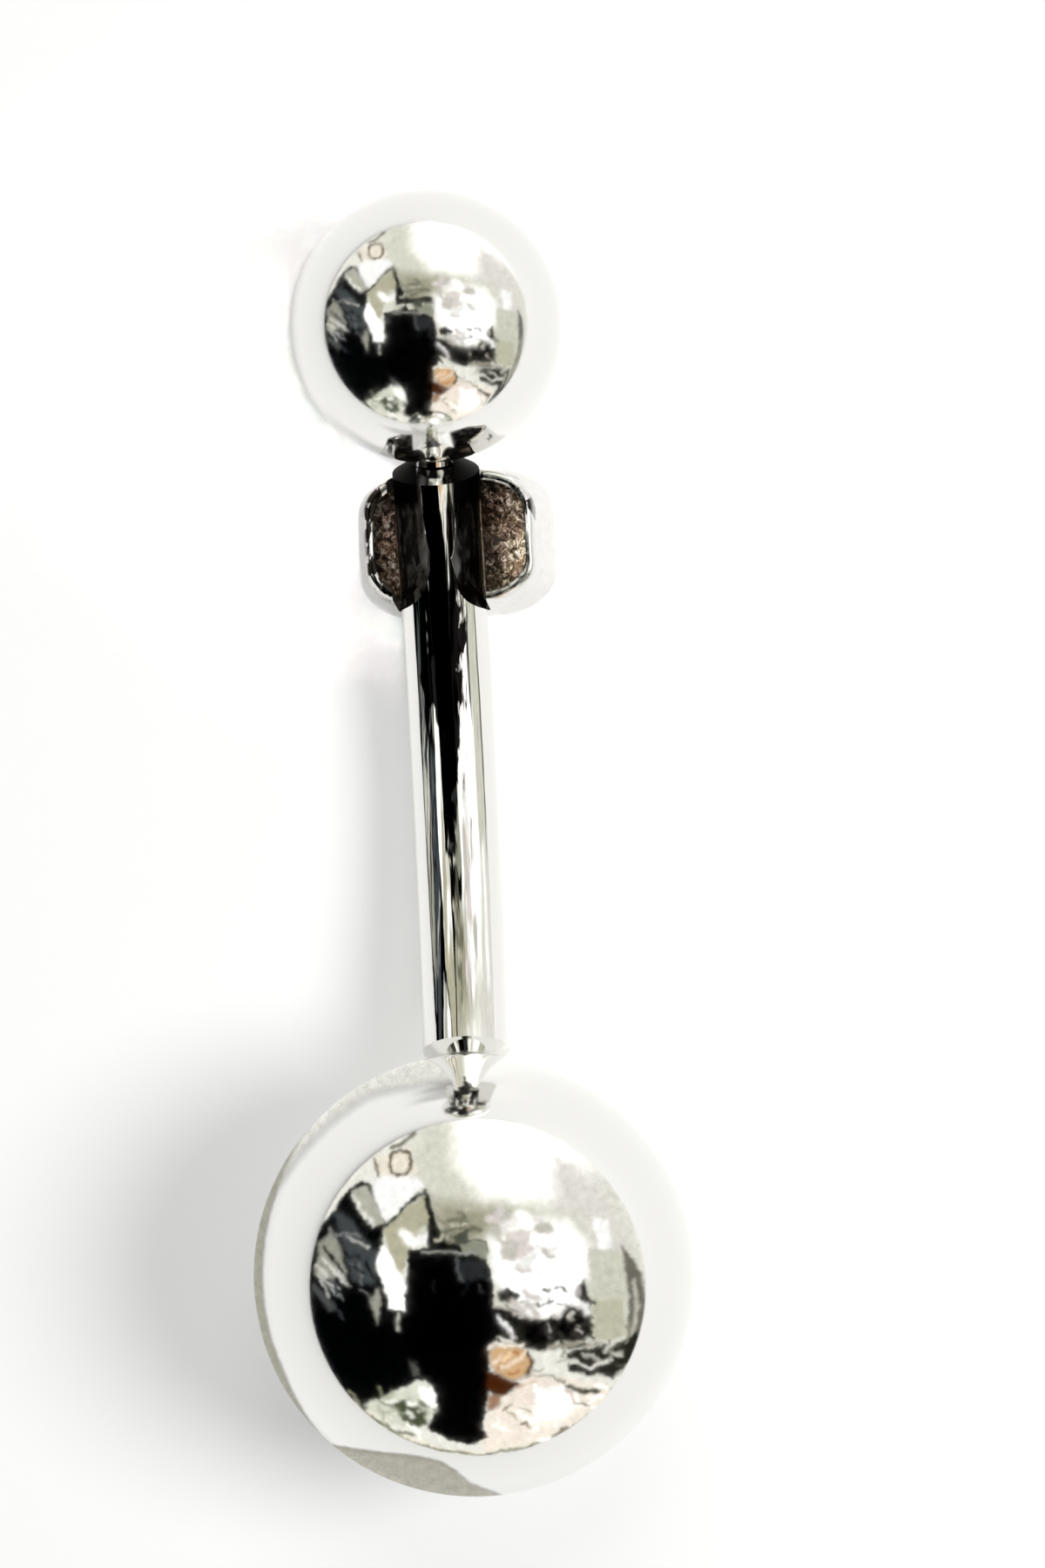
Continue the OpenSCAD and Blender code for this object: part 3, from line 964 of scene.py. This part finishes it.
def mirroredWays(pixels):  # where the large ball sends the camera's rays
    rays = (
        -np.array(back)
        + np.array(right) * ((pixels[:, 0] - photo["width"] / 2) / focal)[:, None]
        + np.array(up) * ((photo["height"] / 2 - pixels[:, 1]) / focal)[:, None]
    )
    rays = unit(rays)
    offset = np.array(lens) - np.array(largeCentre)
    b = rays @ offset
    c = offset @ offset - largeRadius**2
    hit = np.array(lens) + rays * (-b - np.sqrt(np.maximum(b * b - c, 0)))[:, None]
    normal = unit(hit - np.array(largeCentre))
    way = rays - 2 * (rays * normal).sum(1)[:, None] * normal
    return hit, way


def discPixels(spots):  # a square's spots spread evenly over the mirrored room's round image
    x, y = spots[:, 0], spots[:, 1]
    wide = np.abs(x) > np.abs(y)
    radius = np.where(wide, x, y)
    safe = np.where(radius == 0, 1, radius)
    turn = np.where(wide, math.pi / 4 * y / safe, math.pi / 2 - math.pi / 4 * x / safe)
    middle = photo["mirroredRoom"]
    radius = radius * photo["mirroredRoomRadius"]
    return np.stack([middle[0] + radius * np.cos(turn), middle[1] + radius * np.sin(turn)], 1)


def framePixels(low, high):
    return lambda spots: np.array(low) + (spots + 1) / 2 * (np.array(high) - np.array(low))


shellSizes = {
    "farReach": 400 * mm,
    "nearReach": 110 * mm,
    "overFloor": (0.1 * mm, 0.2 * mm, 0.3 * mm),  # of the far room, the near room and the floor's painted shadows
    "farSteps": (312, 312),
    "nearStep": 0.8,  # in photo pixels
    "nearMargin": 8,
    "floorWobble": 0.25,
    "fades": (0.996, 0.9985),  # cosine off the photo's ray
}


def roomShell(name, zones, reach, floorLevel, steps, pixelsOf, wobble=1, fromAside=True):
    only()
    bpy.ops.mesh.primitive_grid_add(x_subdivisions=steps[0], y_subdivisions=steps[1], size=2)
    shell = named(name)
    count = len(shell.data.vertices)
    points = np.zeros(count * 3)
    shell.data.vertices.foreach_get("co", points)
    pixels = pixelsOf(points.reshape(-1, 3)[:, :2])
    hit, way = mirroredWays(pixels)
    b = (hit * way).sum(1)
    c = (hit * hit).sum(1) - reach**2
    length = -b + np.sqrt(b * b - c)
    down = way[:, 2] < -1e-6
    toFloor = np.where(down, (floorLevel - hit[:, 2]) / np.where(down, way[:, 2], -1), 1e9)
    length = np.minimum(length, toFloor)
    place = hit + way * length[:, None]
    shell.data.vertices.foreach_set("co", place.ravel())
    colour, cover = drawZones(pixels, zones, wobble)
    tones = shell.data.color_attributes.new("zones", "FLOAT_COLOR", "POINT")
    tones.data.foreach_set("color", np.concatenate([colour, cover[:, None]], 1).ravel())
    seenFrom = shell.data.attributes.new("seenFrom", "FLOAT_VECTOR", "POINT")
    seenFrom.data.foreach_set("vector", -way.ravel())
    if cover.min() == 0:  # what shows nothing is taken off
        editWhere(shell, lambda v: cover[v.index] == 0)
        bpy.ops.mesh.delete(type="VERT")
        bpy.ops.object.mode_set(mode="OBJECT")
    material = bpy.data.materials.new(name)
    material.use_nodes = True
    tree = material.node_tree
    tree.nodes.clear()
    read = tree.nodes.new("ShaderNodeAttribute")
    read.attribute_name = "zones"
    glow = tree.nodes.new("ShaderNodeEmission")
    clear = tree.nodes.new("ShaderNodeBsdfTransparent")
    mix = tree.nodes.new("ShaderNodeMixShader")
    out = tree.nodes.new("ShaderNodeOutputMaterial")
    tree.links.new(read.outputs["Color"], glow.inputs["Color"])
    shown = read.outputs["Alpha"]
    if not fromAside:  # fades where another ray than the photo's meets it
        expected = tree.nodes.new("ShaderNodeAttribute")
        expected.attribute_name = "seenFrom"
        meeting = tree.nodes.new("ShaderNodeNewGeometry")
        match = tree.nodes.new("ShaderNodeVectorMath")
        match.operation = "DOT_PRODUCT"
        tree.links.new(expected.outputs["Vector"], match.inputs[0])
        tree.links.new(meeting.outputs["Incoming"], match.inputs[1])
        share = rangeNode(tree, match.outputs["Value"], shellSizes["fades"])
        shown = mathNode(tree, "MULTIPLY", shown, share)
    tree.links.new(shown, mix.inputs["Fac"])
    tree.links.new(clear.outputs[0], mix.inputs[1])
    tree.links.new(glow.outputs[0], mix.inputs[2])
    tree.links.new(mix.outputs[0], out.inputs["Surface"])
    material.cycles.emission_sampling = "NONE"
    shell.data.materials.append(material)
    shell.visible_camera = False
    shell.visible_diffuse = False
    shell.visible_shadow = False
    shell.visible_transmission = False


roomClutter = (  # seed, count, corners of the patch, reach, width, slant, tones
    (1, 34, (568, 1478), (676, 1540), (3, 9), (1.5, 5), 20, ((0.02, 0.02, 0.02), (0.2, 0.19, 0.18),
        (0.75, 0.73, 0.7))),
    (2, 12, (570, 1440), (668, 1500), (4, 10), (3, 9), 10, ((1.1, 1.1, 1.1), (0.82, 0.79, 0.78),
        (0.95, 0.95, 0.94))),
    (3, 40, (566, 1585), (690, 1655), (4, 12), (1.2, 4), -18, ((1.05, 1.04, 1.02), (0.78, 0.64, 0.56),
        (0.5, 0.47, 0.4), (1.0, 0.95, 0.9), (1.1, 1.1, 1.1))),
    (4, 22, (420, 1598), (500, 1650), (4, 11), (1.2, 5), 20, ((1.05, 1.05, 1.03), (0.42, 0.44, 0.36),
        (0.72, 0.73, 0.66), (0.3, 0.32, 0.26))),
    (5, 26, (612, 1540), (728, 1582), (4, 12), (1.5, 4), -8, ((0.1, 0.1, 0.08), (0.55, 0.54, 0.48),
        (0.9, 0.89, 0.85), (0.3, 0.3, 0.26))),
    (6, 20, (358, 1410), (425, 1500), (5, 14), (1.5, 4), 52, ((0.45, 0.46, 0.46), (0.22, 0.24, 0.26),
        (0.72, 0.72, 0.7), (0.05, 0.05, 0.06))),
    (7, 14, (556, 1395), (625, 1445), (4, 12), (4, 12), 0, ((0.95, 0.94, 0.93), (0.86, 0.83, 0.82),
        (0.76, 0.75, 0.72))),
    (8, 12, (500, 1390), (548, 1425), (4, 12), (2, 6), -12, ((0.55, 0.54, 0.47), (0.75, 0.74, 0.67),
        (0.42, 0.42, 0.36))),
)
nearClutter = (
    (9, 10, (480, 1440), (560, 1480), (3, 9), (1.2, 3), 80, ((0.1, 0.11, 0.12), (0.25, 0.26, 0.27),
        (0.02, 0.02, 0.02))),
    (10, 8, (566, 1552), (604, 1580), (3, 7), (1.5, 4), -20, ((0.95, 0.82, 0.68), (0.72, 0.5, 0.32),
        (1.0, 0.93, 0.85))),
)


def withStrokes(zones, clutter):
    return [*zones.values(), *(line for patch in clutter for line in strokes(*patch))]


overFar, overNear, overFloorShadows = shellSizes["overFloor"]
farZones = withStrokes(roomZones, roomClutter)
roomShell("farRoom", farZones, shellSizes["farReach"], overFar, shellSizes["farSteps"], discPixels)
nearCorners = np.concatenate([np.array(zone[3]) for zone in nearZones.values()])
nearLow = nearCorners.min(0) - shellSizes["nearMargin"]
nearHigh = nearCorners.max(0) + shellSizes["nearMargin"]
nearPixels = framePixels(nearLow, nearHigh)
nearSteps = [int(v) for v in (nearHigh - nearLow) / shellSizes["nearStep"]]
hangingZones = withStrokes(nearZones, nearClutter)
roomShell("nearRoom", hangingZones, shellSizes["nearReach"], overNear, nearSteps, nearPixels)


# painted shadows: the floor's shade that the large ball's rim mirrors, drawn the same way on a shell that
# only reflections see
def roundLargeBall(turns, radii):  # degrees from the photo's right, downwards
    x, y = photo["largeBall"]
    turns = np.radians(turns)
    return np.stack([x + radii * np.cos(turns), y + radii * np.sin(turns)], 1)


floorArc = {"turns": (72, 268), "radii": (200, 257), "steps": (480, 57), "beyond": 264, "points": 24}


def crescent(*innerEdge):  # from (turn, radius) pairs out past the ball's outline
    turns, radii = np.array(innerEdge, float).T
    fine = np.linspace(turns[0], turns[-1], floorArc["points"])
    inner = roundLargeBall(fine, np.interp(fine, turns, radii))
    outer = roundLargeBall(fine[::-1], np.full(len(fine), floorArc["beyond"]))
    return tuple(map(tuple, np.concatenate([inner, outer])))


# painted shadows on the floor as the large ball's rim shows them: grey bands and a grey line along its left
# outline
floorShadowZones = {
    "lowerShadowBand": ((0.68, 0.67, 0.63), 2.5, 0, ((346, 1640), (376, 1659), (410, 1664), (443, 1668),
        (480, 1672), (504, 1677), (522, 1688), (540, 1702), (578, 1717), (560, 1730), (480, 1722),
        (400, 1690))),
    "lowerShadowEdge": ((0.6, 0.59, 0.54), 2.5, 2.5, ((372, 1658), (410, 1665), (443, 1669), (480, 1673),
        (504, 1678), (524, 1690))),
    "upperLeftShadow": ((0.87, 0.87, 0.845), 10, 0, crescent(
        (200, 254), (208, 246), (220, 241), (240, 238), (252, 227), (264, 221))),
    "leftShadowLine": ((0.62, 0.62, 0.57), 3, 0, crescent(
        (134, 256), (144, 250), (154, 245), (180, 243.5), (198, 245), (212, 250), (226, 256))),
}


def arcPixels(spots):
    turnAndRadius = framePixels(*zip(floorArc["turns"], floorArc["radii"]))(spots)
    return roundLargeBall(turnAndRadius[:, 0], turnAndRadius[:, 1])


roomShell(
    "floorShadowReflections",
    floorShadowZones.values(),
    shellSizes["farReach"],
    overFloorShadows,
    floorArc["steps"],
    arcPixels,
    shellSizes["floorWobble"],
    False,
)
print("room drawn")
